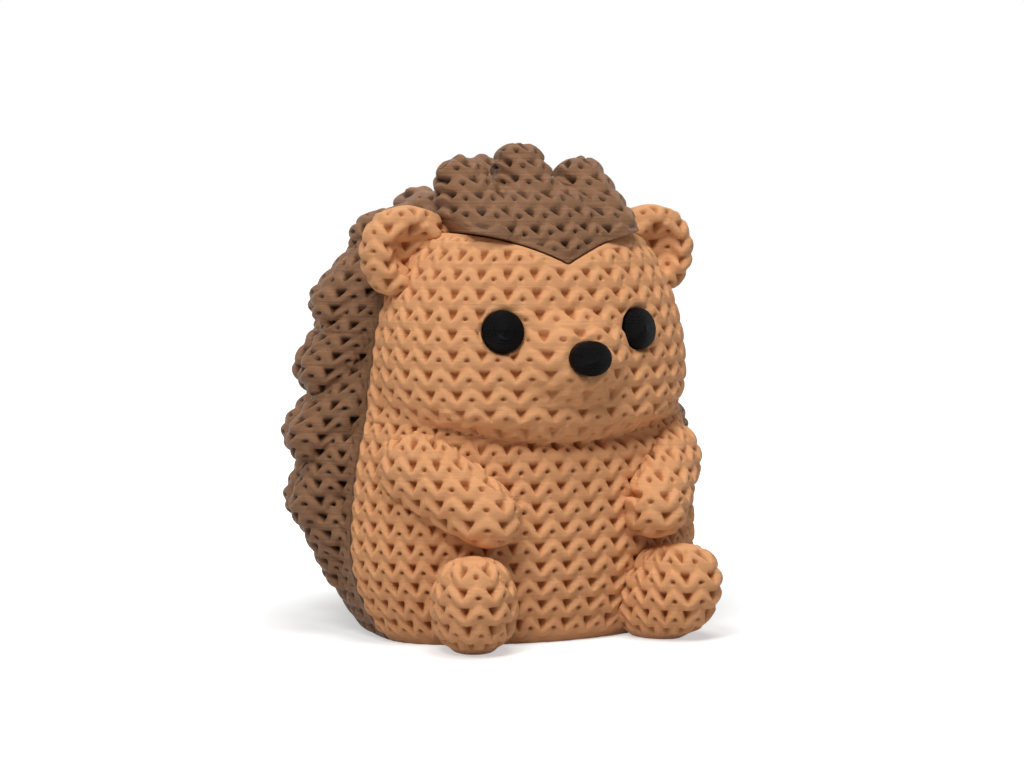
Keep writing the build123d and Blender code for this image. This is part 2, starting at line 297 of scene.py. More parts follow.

# %% [markdown]
# ## Handing a piece over
# A finished piece rides on a CAD body, stands for its CAD node and names its plastic. It also keeps the
# depth of its holes at each point, which the material reads to paint shade into them; a colour attribute
# could carry that too, but one number is enough. The even skin has many faces where it is flat, so a
# Decimate modifier takes those away.

# %% Finished pieces
def finish_piece(obj, hole, faces, node, body, slot):
    """Keeps the hole depth for the material, thins the mesh and puts the piece on its body."""
    store = obj.data.attributes.new("hole", "FLOAT", "POINT")
    store.data.foreach_set("value", hole.astype(np.float32))
    triangles = 2 * len(obj.data.polygons)
    if triangles > faces:
        thin = obj.modifiers.new("thin", "DECIMATE")
        thin.ratio = faces / triangles
        apply_modifiers(obj)
    obj.data.shade_smooth()
    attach(obj, body)
    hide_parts(node)
    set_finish(obj, slot)
    print(obj.name, len(obj.data.vertices), "points,", len(obj.data.polygons), "faces")


# %% [markdown]
# ## The body's plain form
# Torso and head are one tan print, in which each swollen form flows into the next. It could be sculpted
# by hand, but the CAD model already says where its four balls are, so their formula is used again.
# Distances are taken from an upright axis in the joint plane, where the quill back begins; forward is
# towards the face.

# %% The four balls
joint_y = 8.0
balls = {
    "torso": dict(middle=0.0, height=18.0, half=35.4, forward=20.0, backward=46.0, below=29.0, above=58.0),
    "waist": dict(middle=0.0, height=43.0, half=32.2, forward=15.0, backward=42.0, below=32.0, above=32.0),
    "head": dict(middle=4.0, height=49.5, half=31.2, forward=18.8, backward=47.0, below=20.5, above=35.5),
    "muzzle": dict(middle=12.0, height=52.8, half=12.0, forward=15.4, backward=15.4, below=9.8, above=9.8),
}
torso, waist, head, muzzle = balls.values()


def reach(ball, turn, z):
    """Distance from the axis to a ball's skin, in the direction of turn (0 is straight forward)."""
    span = np.where(z > ball["height"], ball["above"], ball["below"])
    k = 1 - ((z - ball["height"]) / span) ** 2
    s, c, m = np.sin(turn), np.cos(turn), ball["middle"]
    best = np.zeros(np.broadcast(turn, z).shape)
    for depth, front in ((ball["forward"], True), (ball["backward"], False)):
        qa = (s / ball["half"]) ** 2 + (c / depth) ** 2
        qb = -2 * c * m / depth**2
        qc = (m / depth) ** 2 - k
        under = qb**2 - 4 * qa * qc
        r = (-qb + np.sqrt(np.maximum(under, 0))) / (2 * qa)
        good = (under > 0) & (k > 0) & ((r * c >= m) == front)
        best = np.where(good, np.maximum(best, r), best)
    return best


def plain_reach(turn, z):
    return np.max([reach(ball, turn, z) for ball in balls.values()], axis=0)


belly = plain_reach(np.zeros(1), np.full(1, torso["height"]))[0]
print("the belly reaches", round(float(belly), 1), "mm forward of the joint")

# %% [markdown]
# ## One soft skin
# On the print the muzzle swells softly out of the face, and only the chin stands over the chest in a real
# crease. A Boolean union would leave a hard line round every ball. A soft maximum of the four reaches
# gives each pair of balls its own width of blend, and the crease under the chin is then drawn in by a
# formula.

# %% Blend of the balls
side_blend, belly_blend, chin_blend, muzzle_blend = 0.4, 3.2, 0.5, 4.5
chin_front, chin_rise = 36.7, 4.0
jowl_out, jowl_up, jowl_tall = 0.8, 4.3, 2.6
crease_deep, crease_tall = 2.0, 1.7
crease_front = (0.05, 0.45)  # the crease runs out towards the sides


def soft_max(a, b, width):
    near = np.maximum(width - np.abs(a - b), 0)
    return np.maximum(a, b) + near**2 / (4 * width)


def chin_height(turn):
    """Height of the crease under the head, lowest in front."""
    return chin_front + chin_rise * np.sin(turn) ** 2


def soft_reach(turn, z):
    """Distance from the axis to the blended skin."""
    front = np.cos(turn) ** 2
    trunk = soft_max(reach(torso, turn, z), reach(waist, turn, z), side_blend + belly_blend * front)
    both = soft_max(trunk, reach(head, turn, z), side_blend + chin_blend * front)
    over_chin = z - chin_height(turn)
    jowl = jowl_out * np.exp(-(((over_chin - jowl_up) / jowl_tall) ** 2))
    crease = jowl - crease_deep * np.exp(-((over_chin / crease_tall) ** 2))
    return soft_max(both, reach(muzzle, turn, z), muzzle_blend) + ease(*crease_front, front) * crease


print("the chin's crease lies", chin_front, "mm up in front and", chin_front + chin_rise, "mm at the sides")

# %% [markdown]
# ## Rows round the body
# The rows lie level, and each has as many stitches as the next, so stitches narrow where the form
# narrows, as they do on the figure. A UV map could lay them out, but it would have to be cut somewhere.
# An angle round the axis gives straight columns with no cut in front. Torso and head are counted apart,
# because the crease parts them, and each row starts a little further on, which leans the columns as the
# real ones lean.

# %% Counting the body's stitches
row_pitch = 3.62
torso_stitches, head_stitches = 41, 31
torso_top, head_top = 37.63, 40.52  # heights where a row begins
torso_start, head_start = 3.7, -3.4  # degrees
torso_lean, head_lean = 0.42, 0.95  # degrees from row to row
chin_curl = 14.0  # how far the rows under the head close up
most_under = 0.95
head_starts = 0.6  # above the crease


def body_stitches(p):
    """Count of stitches round from the middle and count of rows down, on the torso and on the head."""
    forward, z = joint_y - p[:, 1], p[:, 2]
    down_torso = (torso_top - z) / row_pitch
    turn_torso = np.degrees(np.arctan2(p[:, 0] / torso["half"], forward / torso["forward"]))
    along_torso = (turn_torso + torso_start - torso_lean * np.floor(down_torso)) * torso_stitches / 360
    # Under the head, rows follow the curve of the chin
    under = np.clip((head["height"] - z) / head["below"], 0, most_under)
    low = head["height"] - (np.arcsin(under) - under) * chin_curl
    level = np.where(z < head["height"], z + low - head["height"], z)
    down_head = (head_top - level) / row_pitch
    ahead = (forward - head["middle"]) / head["forward"]
    turn_head = np.degrees(np.arctan2(p[:, 0] / head["half"], ahead))
    along_head = (turn_head + head_start - head_lean * np.floor(down_head)) * head_stitches / 360
    on_head = z > chin_height(np.arctan2(p[:, 0], forward)) + head_starts
    return np.where(on_head, along_head, along_torso), np.where(on_head, down_head, down_torso)


print("a stitch is", round(torso["half"] * 2 * math.pi / torso_stitches, 1), "mm wide on the belly")

# %% [markdown]
# ## The hairline
# The quill back ends on the forehead in a V-shaped hairline with bowed arms. It could be drawn as a curve
# and measured from there. A width, two heights and a bow say the same, and body and quill back both ask
# this one function, so that they always agree.

# %% Hairline
hair_half, hair_low, hair_rise, hair_bow = 19.0, 70.1, 5.9, 0.64


def hairline(x):
    """Height of the hairline at a place across the forehead."""
    t = np.clip(np.abs(x) / hair_half, 0, 1)
    return hair_low + hair_rise * (t + hair_bow * t * (1 - t))


print("the hairline rises from", hair_low, "to", round(float(hairline(hair_half)), 1), "mm")

# %% [markdown]
# ## Places of the eyes and the nose
# The black eyes sit square on the head's skin, and the nose looks straight forward from the muzzle. Each
# has a pocket, and round the pockets the print is plain. A mask for that could be painted by hand. Here
# it is worked out from the places of the plugs themselves, so that it fits them wherever they are.

# %% Eyes' and nose's places
eye_x, eye_z, nose_up = 14.1, 58.2, 0.6
eye_edge, nose_edge = (4.05, 4.9), (1.02, 1.3)  # from the pocket to the full stitch; the nose's in halves
nose_half_x, nose_half_z = 4.0, 3.4
pocket_reach = 4


def eye_place(side):
    """An eye's centre on the head's skin, and the direction that it looks in."""
    x, z = eye_x * side, eye_z - head["height"]
    forward = head["forward"] * math.sqrt(1 - (x / head["half"]) ** 2 - (z / head["above"]) ** 2)
    centre = np.array([x, joint_y - head["middle"] - forward, eye_z])
    out = np.array([x / head["half"] ** 2, -forward / head["forward"] ** 2, z / head["above"] ** 2])
    return centre, out / np.linalg.norm(out)


eyes = {"right": eye_place(-1), "left": eye_place(1)}
nose_forward = muzzle["forward"] * math.sqrt(1 - (nose_up / muzzle["above"]) ** 2)
nose_centre = np.array([0.0, joint_y - muzzle["middle"] - nose_forward, muzzle["height"] + nose_up])


def clear_of_plugs(p):
    """0 in the pockets, 1 from about a millimetre outside them."""
    keep = np.ones(len(p))
    for centre, out in eyes.values():
        d = p - centre
        radial = np.linalg.norm(d - np.outer(d @ out, out), axis=1)
        keep *= np.where(np.abs(d @ out) < pocket_reach, ease(*eye_edge, radial), 1)
    d = p - nose_centre
    oval = np.hypot(d[:, 0] / nose_half_x, d[:, 2] / nose_half_z)
    keep *= np.where(d[:, 1] < pocket_reach, ease(*nose_edge, oval), 1)
    return keep


print("eye centre", np.round(eyes["left"][0], 1), "nose centre", np.round(nose_centre, 1))

# %% [markdown]
# ## The body's skin
# The copy of the CAD body is brought out to the blended form. That also fills the notches which the CAD
# model has for its main stitches, since the relief below brings its own, finer ones. A Shrinkwrap
# modifier could pull the skin onto a target mesh; moving it along the distance from the axis needs no
# target at all.

# %% Body skin
coarse_skin = 1.6  # the first skin's quads against the last one's
notch_floor, skin_slack, near_skin = 1.6, 0.4, 0.6
edge_clear, hair_clear = 0.12, 0.1
body_relax = 6


def from_axis(p):
    """Distance forward, direction, and distance from the upright axis in the joint plane."""
    forward = joint_y - p[:, 1]
    return forward, np.arctan2(p[:, 0], forward), np.hypot(p[:, 0], forward)


def in_sight(p):
    """Points in front of the joint, above the base and below the hairline."""
    in_front = (joint_y - p[:, 1] > edge_clear) & (p[:, 2] > edge_clear)
    return in_front & (p[:, 2] < hairline(p[:, 0]) - hair_clear)


body = dense_copy("body", "body_knit", coarse_skin * fine)
p = points(body)
forward, turn, out = from_axis(p)
depth = out - plain_reach(turn, p[:, 2])
skin = in_sight(p) & (depth > -notch_floor) & (depth < skin_slack)
grow = soft_reach(turn, p[:, 2]) / np.maximum(out, 1)
grow = np.where(skin, 1 + (grow - 1) * clear_of_plugs(p), 1)
p[:, 0] *= grow
p[:, 1] = joint_y - forward * grow
place(body, p)
reskin(body, fine)

p = points(body)
forward, turn, out = from_axis(p)
outer = in_sight(p) & (np.abs(out - soft_reach(turn, p[:, 2])) < near_skin)
pocket = clear_of_plugs(p)
relax(body, body_relax, outer * pocket)
print("body skin of", len(p), "points,", int(outer.sum()), "of them in sight")

# %% [markdown]
# ## The knitted body
# Now each point moves along its normal by the height of the stitch it lies in. A Displace modifier does
# the same from a texture, but a formula in numpy can also fade the relief out where the real print is
# plain: at the hairline, the base, the seam and round the plugs. The face is knitted a little flatter
# than the belly, and the overhang under the chin came out rough and smeared.

# %% Body stitches
body_faces = 190000
body_uneven = 0.04  # in rows
face_height, face_flat, face_pale = (36, 41), 0.15, 0.3
chin_lean, chin_zone = (0.15, 0.5), (36, 38)
chin_smear, chin_pale, chin_rough = 0.4, 0.45, 0.3
grain_x, grain_y, grain_z = 9, 4, 7
seam_fade, base_fade, hair_fade = (0.1, 1.2), (0.6, 2.8), (0.3, 2.2)

p, n = points(body), normals(body)
along, down = body_stitches(p)
on_face = ease(*face_height, p[:, 2])
uneven = body_uneven * wander(p[:, 0], p[:, 2], seed=2)
height, hole = stitch_height(along, down + uneven, 1 - face_flat * on_face)
hole *= 1 - face_pale * on_face
under_chin = ease(*chin_lean, -n[:, 2]) * ease(*chin_zone, p[:, 2])
height *= 1 - chin_smear * under_chin
hole *= 1 - chin_pale * under_chin
grain = wander(grain_x * p[:, 0] + grain_y * p[:, 1], grain_z * p[:, 2], seed=7)
height += chin_rough * under_chin * grain
show = outer * pocket * ease(*seam_fade, joint_y - p[:, 1]) * ease(*base_fade, p[:, 2])
show *= ease(*hair_fade, hairline(p[:, 0]) - p[:, 2])
p += n * (show * height)[:, None]
p[:, 2] = np.maximum(p[:, 2], 0)
p[:, 1] = np.minimum(p[:, 1], joint_y)
place(body, p)
finish_piece(body, show * hole, body_faces, "body", "figure", "tan_print")

# %% [markdown]
# ## Faces that keep still
# The quill back is one brown print, and the part of it that lies against the body, the ears or the floor
# is plain. These faces could be picked by hand in edit mode. Picking them by place and by the way they
# face does the same for any skin, however fine, so they are found that way and then keep still.

# %% Faces that keep still
quill_gap = 0.3  # between the quill back and the body
# For each kind of face: how near it lies, how far it looks forward or down, and how high it reaches
joint_slack, joint_faces, joint_top = 0.2, -0.7, 77
roof_reach, roof_faces, roof_top = 0.6, -0.45, 78
ear_x, ear_z, ear_pocket, ear_behind = 25.7, 72.4, 9.4, 0.7
base_clear = 0.15


def meets_body(p, n):
    """Faces of the quill back that lie against the body, an ear or the floor."""
    forward, z = joint_y - p[:, 1], p[:, 2]
    meets = (np.abs(forward + quill_gap) < joint_slack) & (n[:, 1] < joint_faces) & (z < joint_top)
    meets |= (forward > -roof_reach) & (n[:, 2] < roof_faces) & (z < roof_top)
    for side in (-1, 1):
        near_ear = np.hypot(p[:, 0] - ear_x * side, z - ear_z) < ear_pocket
        meets |= near_ear & (forward > -ear_behind)
    return meets | (z < base_clear)


quills = dense_copy("quill_shell", "quill_knit", fine)
p, n = points(quills), normals(quills)
free = np.where(meets_body(p, n), 0.0, 1.0)
print("quill skin of", len(p), "points,", int(free.sum()), "of them free to move")

# %% [markdown]
# ## The quill back's form
# Rows of tufts droop down the back. Those of the CAD model meet in sharp creases, while those of the
# print run into one another. So the copy is smoothed, and then the larger lobes, which a much stronger
# smoothing takes away, are put back bolder. The mesh filters of sculpt mode can smooth a form and enhance
# its lobes too, but this way gives the same form each time.

# %% Quill form
over_edge, behind_edge, edge_follow = (0.5, 1.2), (0.3, 1.4), 0.05
quill_relax, lobe_relax = 16, 120
lobe_bold, lobe_fade = 0.5, (62, 74)  # the crown's own tufts stay as they are

forward = joint_y - p[:, 1]
over = ease(*over_edge, p[:, 2] - hairline(p[:, 0]) + quill_gap)
edge = np.where(forward > -quill_gap, over, ease(*behind_edge, -forward))
follow = free * np.clip(edge, edge_follow, 1)
p = relax(quills, quill_relax, follow)
lobes = p - relax(quills, lobe_relax, follow)
p += (lobe_bold * (1 - ease(*lobe_fade, p[:, 2])))[:, None] * lobes
place(quills, p)
print("lobes of up to", round(float(np.linalg.norm(lobes, axis=1).max()), 1), "mm")

# %% [markdown]
# ## Rows on the quills
# The brown stitches are smaller than the tan ones and run level over every tuft. An angle round an axis
# would serve on a plain dome, but it stretches the stitches on every tuft. So lengths along the level
# lines are fitted: on the crown, counted from the middle of the forehead, and on the back, counted from
# the middle behind. The two are fitted apart, because joined they would pull each other's stitches out of
# shape.

# %% Counting the quills' stitches
brown_stitch, brown_row = 4.3, 2.98
crown_height, crown_front = 75, -0.2
turn_depth, turn_stretch = 2, 1.22  # the back's axis in front of the joint, and what tufts add
outline_heights, outline_halves = [0, 18, 52, 75], [29, 36, 33, 26]  # half the back's width, by height
turned_in = -0.1  # skin between tufts that faces inward is left out
sharp_turn = 6
quill_uneven = 0.4

n = normals(quills)
forward = joint_y - p[:, 1]
crown = (p[:, 2] > crown_height) | (forward > crown_front)
back_half = np.interp(p[:, 2], outline_heights, outline_halves)
away = np.stack([p[:, 0], turn_depth - forward], axis=1)
outward = (n[:, :2] * away).sum(axis=1) / np.linalg.norm(away, axis=1)
round_back = np.arctan2(away[:, 0], away[:, 1]) * back_half * turn_stretch
guess = np.where(crown, p[:, 0], round_back)
back_sense = np.where(outward > turned_in, -1.0, 0.0)
sense = np.where(crown, -np.tanh(sharp_turn * n[:, 1]), back_sense) * free
along = level_length(quills, guess, sense, crown, quill_rounds)
down = quill_uneven * wander(along, p[:, 2], seed=4) - p[:, 2]
on_back = (sense != 0) & ~crown
print("rows on the back are up to", round(float(np.ptp(along[on_back])), 1), "mm long")

# %% [markdown]
# ## Relief of the quills
# A plain band a few millimetres wide follows the joint, one level line crosses the back as where a print
# has paused, and the forelock over the face is the plumpest part. The joint's edge lies in its own shadow
# on the real figure. A wider gap would darken it too, but would be wrong in size, so the edge counts as a
# hole.

# %% Quill stitches
quill_faces = 198000
quill_size, quill_wide = 1.2, 1.45
plump_back, plump_more, plump_zone = 0.8, 0.35, (-1.5, 0.5)
print_line, line_deep, line_tall = 57.2, 0.4, 0.2
band_front, hair_band, side_band, ear_band = -0.5, (1.0, 2.2), (1.4, 4.0), (1.0, 2.4)
ear_band_back, ear_band_low = -5, 72
floor_fade = (0.3, 1.4)
edge_front, edge_dark, edge_wide = -0.31, 0.8, (0.1, 0.5)

plump = plump_back + plump_more * ease(*plump_zone, forward)
size = quill_size * brown_row / row_pitch
height, hole = stitch_height(along / brown_stitch, down / brown_row, size, quill_wide, plump)
height -= line_deep * np.exp(-(((p[:, 2] - print_line) / line_tall) ** 2))
rise = p[:, 2] - hairline(p[:, 0])
band = np.where(forward > band_front, ease(*hair_band, rise), ease(*side_band, -forward))
by_ear = (forward > ear_band_back) & (p[:, 2] > ear_band_low)
band = np.where(by_ear, np.maximum(band, ease(*ear_band, rise)), band)
show = free * band * ease(*floor_fade, p[:, 2])
p += n * (show * height)[:, None]
p[:, 2] = np.maximum(p[:, 2], 0)
place(quills, p)
into_edge = np.where(forward > edge_front, rise, -quill_gap - forward)
hole = np.maximum(show * hole, edge_dark * free * (1 - ease(*edge_wide, into_edge)))
finish_piece(quills, hole, quill_faces, "quill_shell", "quill_back", "brown_print")

# %% [markdown]
# ## Knitting a limb
# Ears, arms and feet are tan prints with level rows like the body's. Each could have code of its own, but
# the steps are the same: a fine skin, a little smoothing, stitches, and a place where they fade. So one
# function knits them all, and each kind of limb only brings its count of stitches, its fade and its
# sizes.

# %% Knitting a limb
limb_skin, limb_relax = 1.05, 6
limb_uneven = 0.05
limbs = {}


def knit_limb(node, along, fade, row, top, relief, faces):
    """Lays level rows on a limb; along counts its stitches, and top is a height where a row begins."""
    limb = dense_copy(node, node + "_knit", fine * limb_skin)
    p = relax(limb, limb_relax, np.ones(len(limb.data.vertices)))
    n = normals(limb)
    stitches = along(limb, p, n)
    down = (top - p[:, 2]) / row
    uneven = limb_uneven * wander(p[:, 0], p[:, 2], seed=6)
    height, hole = stitch_height(stitches, down + uneven, relief * row / row_pitch)
    show = fade(p, n)
    p += n * (show * height)[:, None]
    p[:, 2] = np.maximum(p[:, 2], 0)
    place(limb, p)
    finish_piece(limb, show * hole, faces, node, "figure", "tan_print")


print("limbs have quads", round(limb_skin * fine * mm_per_metre, 2), "mm wide")

# %% [markdown]
# ## Ears
# An ear is a round disc, cupped in front. An angle round its middle would run its rows in rings, but the
# real rows are level. So its stitches are spaced by length along the level lines, alike on its front and
# on its back, and the level faces at its top and bottom stay plain.

# %% Ears
ear_stitch, ear_flat = 4.6, (-0.95, -0.7)


def ear_along(limb, p, n):
    guess = p[:, 0] - ear_x * np.sign(p[0, 0])
    sense = -np.tanh(sharp_turn * n[:, 1])
    return level_length(limb, guess, sense, np.zeros(len(p)), limb_rounds) / ear_stitch


def ear_fade(p, n):
    return ease(*ear_flat, -np.abs(n[:, 2]))


limbs["ear"] = dict(along=ear_along, fade=ear_fade, row=3.3, top=81.1, relief=0.85, faces=36000)
ear_low, ear_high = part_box("ear_left")
print("an ear is", round(mm_per_metre * (ear_high - ear_low).z, 1), "mm high")

# %% [markdown]
# ## Arms
# The arms lie on the belly, and only their outer side shows. Measured all the way round, a row would
# close on itself and its stitches could not count up evenly. So only the side that shows is measured,
# from the middle of the arm, and the rest keeps the first guess, which is the plain distance across.

# %% Arms
arm_x, arm_stitch = 17.0, 4.0
arm_view, arm_hidden = (0.5, -0.87), -0.2  # the direction that an arm shows in, and where its back begins
arm_under = (-0.95, -0.6)


def arm_along(limb, p, n):
    side = np.sign(p[0, 0])
    facing = arm_view[0] * side * n[:, 0] + arm_view[1] * n[:, 1]
    shows = np.where(facing > arm_hidden, 1.0, 0.0)
    return level_length(limb, p[:, 0] - arm_x * side, shows, shows, limb_rounds) / arm_stitch


def arm_fade(p, n):
    return ease(*arm_under, n[:, 2])


limbs["arm"] = dict(along=arm_along, fade=arm_fade, row=3.5, top=38.6, relief=1.0, faces=40000)
arm_low, arm_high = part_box("arm_left")
print("an arm has", round(mm_per_metre * (arm_high - arm_low).z / limbs["arm"]["row"]), "rows")

# %% [markdown]
# ## Feet
# A foot is an egg with a flat sole, small enough for every row to have the same few stitches. Here a
# plain angle round an upright axis is the better count: it closes without a jump. The columns lean a
# little with height, as on the print, and the sole and its rim are plain.

# %% Feet
foot_x, foot_forward = 20.2, 20.4
foot_stitches, foot_lean = 12, 0.02
sole_fade, foot_flat = (0.8, 3.0), (-0.98, -0.8)


def foot_along(limb, p, n):
    turn = np.arctan2(p[:, 0] - foot_x * np.sign(p[0, 0]), joint_y - foot_forward - p[:, 1])
    return turn * foot_stitches / (2 * math.pi) + foot_lean * p[:, 2]


def foot_fade(p, n):
    return ease(*sole_fade, p[:, 2]) * ease(*foot_flat, -n[:, 2])


limbs["foot"] = dict(along=foot_along, fade=foot_fade, row=3.5, top=16.9, relief=1.1, faces=40000)
for side in ("right", "left"):
    for limb, knit in limbs.items():
        knit_limb(f"{limb}_{side}", **knit)

# %% [markdown]
# ## Steps of a plug
# Eyes and nose are black plugs that were printed lying flat, so their domes are stacks of thin layers,
# which show as rings. A bump in the material could draw the rings, but the steps also show along the
# outline of the nose. So an outline with real steps is worked out, each one rounded over.

# %% Stepped outline
# Each layer's rounded edge: out or in, as a share of the plug's half width, and up, as a share of the layer
layer_edge = ((-0.008, 0.05), (0.006, 0.3), (0.006, 0.7), (-0.008, 0.95))


def stepped_outline(edge, dome, seat, layer):
    """Half width, as a share, and height of the points from the plug's seat to the top of its dome."""
    outline = [(0.0, -seat), (1.0, -seat), (1.0, edge)]
    for low in np.arange(0, dome, layer):
        middle = min(low + layer / 2, dome)
        wide = math.sqrt(max(0, 1 - (middle / dome) ** 2))
        for out_by, up_by in layer_edge:
            outline.append((max(wide + out_by, 0.0), edge + low + up_by * layer))
    outline.append((0.0, edge + dome))
    return outline


print("each layer's edge has", len(layer_edge), "points")

# %% [markdown]
# ## Eyes and nose
# The eyes are round and the nose is oval. A Screw modifier turns an outline into a round body, as on a
# lathe, but only about one of the object's own axes, and an oval would need scaling afterwards. Here the
# rings are laid out directly, square to the direction that the plug looks in, and with a half width each
# way.

# %% Eyes and nose
plug_sides = 96
eye_plug = dict(half_x=3.75, half_y=3.75, edge=0.5, dome=1.5, seat=1.3, layer=0.16)
nose_plug = dict(half_x=3.8, half_y=3.2, edge=0.6, dome=2.8, seat=1.3, layer=0.2)


def stepped_dome(name, node, centre, out, half_x, half_y, **sizes):
    """A layered dome on a plane, turned round its axis and pressed to an oval."""
    out = Vector(out)
    side = Vector((0, 0, 1)).cross(out).normalized()
    up = out.cross(side)
    outline = stepped_outline(**sizes)
    verts, faces = [], []
    for wide, z in outline:
        for k in range(plug_sides):
            a = 2 * math.pi * k / plug_sides
            across = side * (half_x * wide * math.cos(a))
            v = Vector(centre) + across + up * (half_y * wide * math.sin(a)) + out * z
            verts.append(v / mm_per_metre)
    for j in range(len(outline) - 1):
        ring, above = j * plug_sides, (j + 1) * plug_sides
        for k in range(plug_sides):
            m = (k + 1) % plug_sides
            faces.append((ring + k, ring + m, above + m, above + k))
    mesh = bpy.data.meshes.new(name)
    mesh.from_pydata(verts, [], faces)
    obj = new_object(name, mesh)
    mesh.shade_smooth()
    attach(obj, "figure")
    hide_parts(node)
    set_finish(obj, "black_print")
    print(name, len(faces), "faces")


for side, (centre, out) in eyes.items():
    stepped_dome(f"eye_{side}_dome", "eye_" + side, centre, out, **eye_plug)
stepped_dome("nose_dome", "nose", nose_centre, (0, -1, 0), **nose_plug)

# %% [markdown]
# ## Nodes by code
# A material is a graph of nodes, and most of the lines that build one only make a node and link it. The
# graph could be put together by hand in the shader editor. Code keeps it repeatable, and two small
# helpers, for the nodes that are needed most often, keep the code short.

# %% Node helpers
def math_node(tree, operation, *values):
    """A Math node fed by sockets or plain numbers; gives back its output."""
    node = tree.nodes.new("ShaderNodeMath")
    node.operation = operation
    for socket, value in zip(node.inputs, values):
        if isinstance(value, bpy.types.NodeSocket):
            tree.links.new(value, socket)
        else:
            socket.default_value = value
    return node.outputs[0]


def colour_mix(tree, factor, first, second):
    """A Mix node of two colours, each a socket or three numbers; gives back its output."""
    node = tree.nodes.new("ShaderNodeMix")
    node.data_type = "RGBA"
    tree.links.new(factor, node.inputs["Factor"])
    for name, colour in (("A", first), ("B", second)):
        if isinstance(colour, bpy.types.NodeSocket):
            tree.links.new(colour, node.inputs[name])
        else:
            node.inputs[name].default_value = (*colour, 1)
    return node.outputs["Result"]


print("helpers for Math and Mix nodes are ready")

# %% [markdown]
# ## Layer lines
# Fine level lines run over every piece of a print, each layer a little lighter, darker or prouder than
# the next. They are too fine for geometry and are the same on all three plastics, so one node group makes
# them from the height: a wave for the layers, a chance number for each layer, and a noise that is
# stretched along the layers. It gives a height for bump and a streak for colour and gloss.

# %% Layer line group
layer_thick = 0.0002  # metres
streak_scale = (70, 70, 3200)  # the noise changes slowly along a layer and fast from layer to layer
streak_low, streak_high = 0.3, 0.7
drift_scale, drift_share, streak_share = 60, 0.25, 0.75
chance_height, streak_height = 0.8, 2.0


def layer_group():
    group = bpy.data.node_groups.new("PrintLayers", "ShaderNodeTree")
    thick = group.interface.new_socket("Layer", in_out="INPUT", socket_type="NodeSocketFloat")
    thick.default_value = layer_thick
    group.interface.new_socket("Height", in_out="OUTPUT", socket_type="NodeSocketFloat")
    group.interface.new_socket("Streak", in_out="OUTPUT", socket_type="NodeSocketFloat")
    nodes, links = group.nodes, group.links
    inlet, outlet = nodes.new("NodeGroupInput"), nodes.new("NodeGroupOutput")
    where = nodes.new("ShaderNodeTexCoord").outputs["Object"]
    # Layers from the height, with a wave and a chance number for each
    split = nodes.new("ShaderNodeSeparateXYZ")
    links.new(where, split.inputs[0])
    count = math_node(group, "DIVIDE", split.outputs["Z"], inlet.outputs["Layer"])
    wave = math_node(group, "SINE", math_node(group, "MULTIPLY", count, 2 * math.pi))
    chance = nodes.new("ShaderNodeTexWhiteNoise")
    chance.noise_dimensions = "1D"
    links.new(math_node(group, "FLOOR", count), chance.inputs["W"])
    # Streaks that run along the layers
    stretch = nodes.new("ShaderNodeMapping")
    stretch.inputs["Scale"].default_value = streak_scale
    links.new(where, stretch.inputs["Vector"])
    noise = nodes.new("ShaderNodeTexNoise")
    noise.inputs["Scale"].default_value = 1.0
    links.new(stretch.outputs["Vector"], noise.inputs["Vector"])
    streak = nodes.new("ShaderNodeMapRange")
    streak.inputs["From Min"].default_value = streak_low
    streak.inputs["From Max"].default_value = streak_high
    links.new(noise.outputs["Fac"], streak.inputs["Value"])
    drift = nodes.new("ShaderNodeTexNoise")
    drift.inputs["Scale"].default_value = drift_scale
    links.new(where, drift.inputs["Vector"])
    # Height for bump, and streak for colour and gloss
    layers_up = math_node(group, "MULTIPLY_ADD", chance.outputs["Value"], chance_height, wave)
    height = math_node(group, "MULTIPLY_ADD", streak.outputs["Result"], streak_height, layers_up)
    links.new(height, outlet.inputs["Height"])
    slow = math_node(group, "MULTIPLY", drift.outputs["Fac"], drift_share)
    tint = math_node(group, "MULTIPLY_ADD", streak.outputs["Result"], streak_share, slow)
    links.new(tint, outlet.inputs["Streak"])
    return group


layers = layer_group()
print("layer lines every", round(layer_thick * mm_per_metre, 2), "mm, from", len(layers.nodes), "nodes")

# %% [markdown]
# ## Plastic
# The figure is printed in three plastics: a warm matt tan, a brown with a little more gloss, and black.
# Each is a Principled shader with its own colours. Light hardly reaches the bottoms of the holes, and
# what comes out of them has been coloured by their walls, so the kept hole depth turns the colour deeper.
# An Ambient Occlusion node could find the holes too, but it is slower, and it darkens every other corner
# as well.

# %% Plastic material
gloss_less, gloss_more = 0.06, 0.08  # how far the streaks change the roughness
bump_strength, bump_distance = 0.8, 0.00005  # the distance is in metres
glow_radius, glow_scale = (1.0, 0.45, 0.2), 0.0012


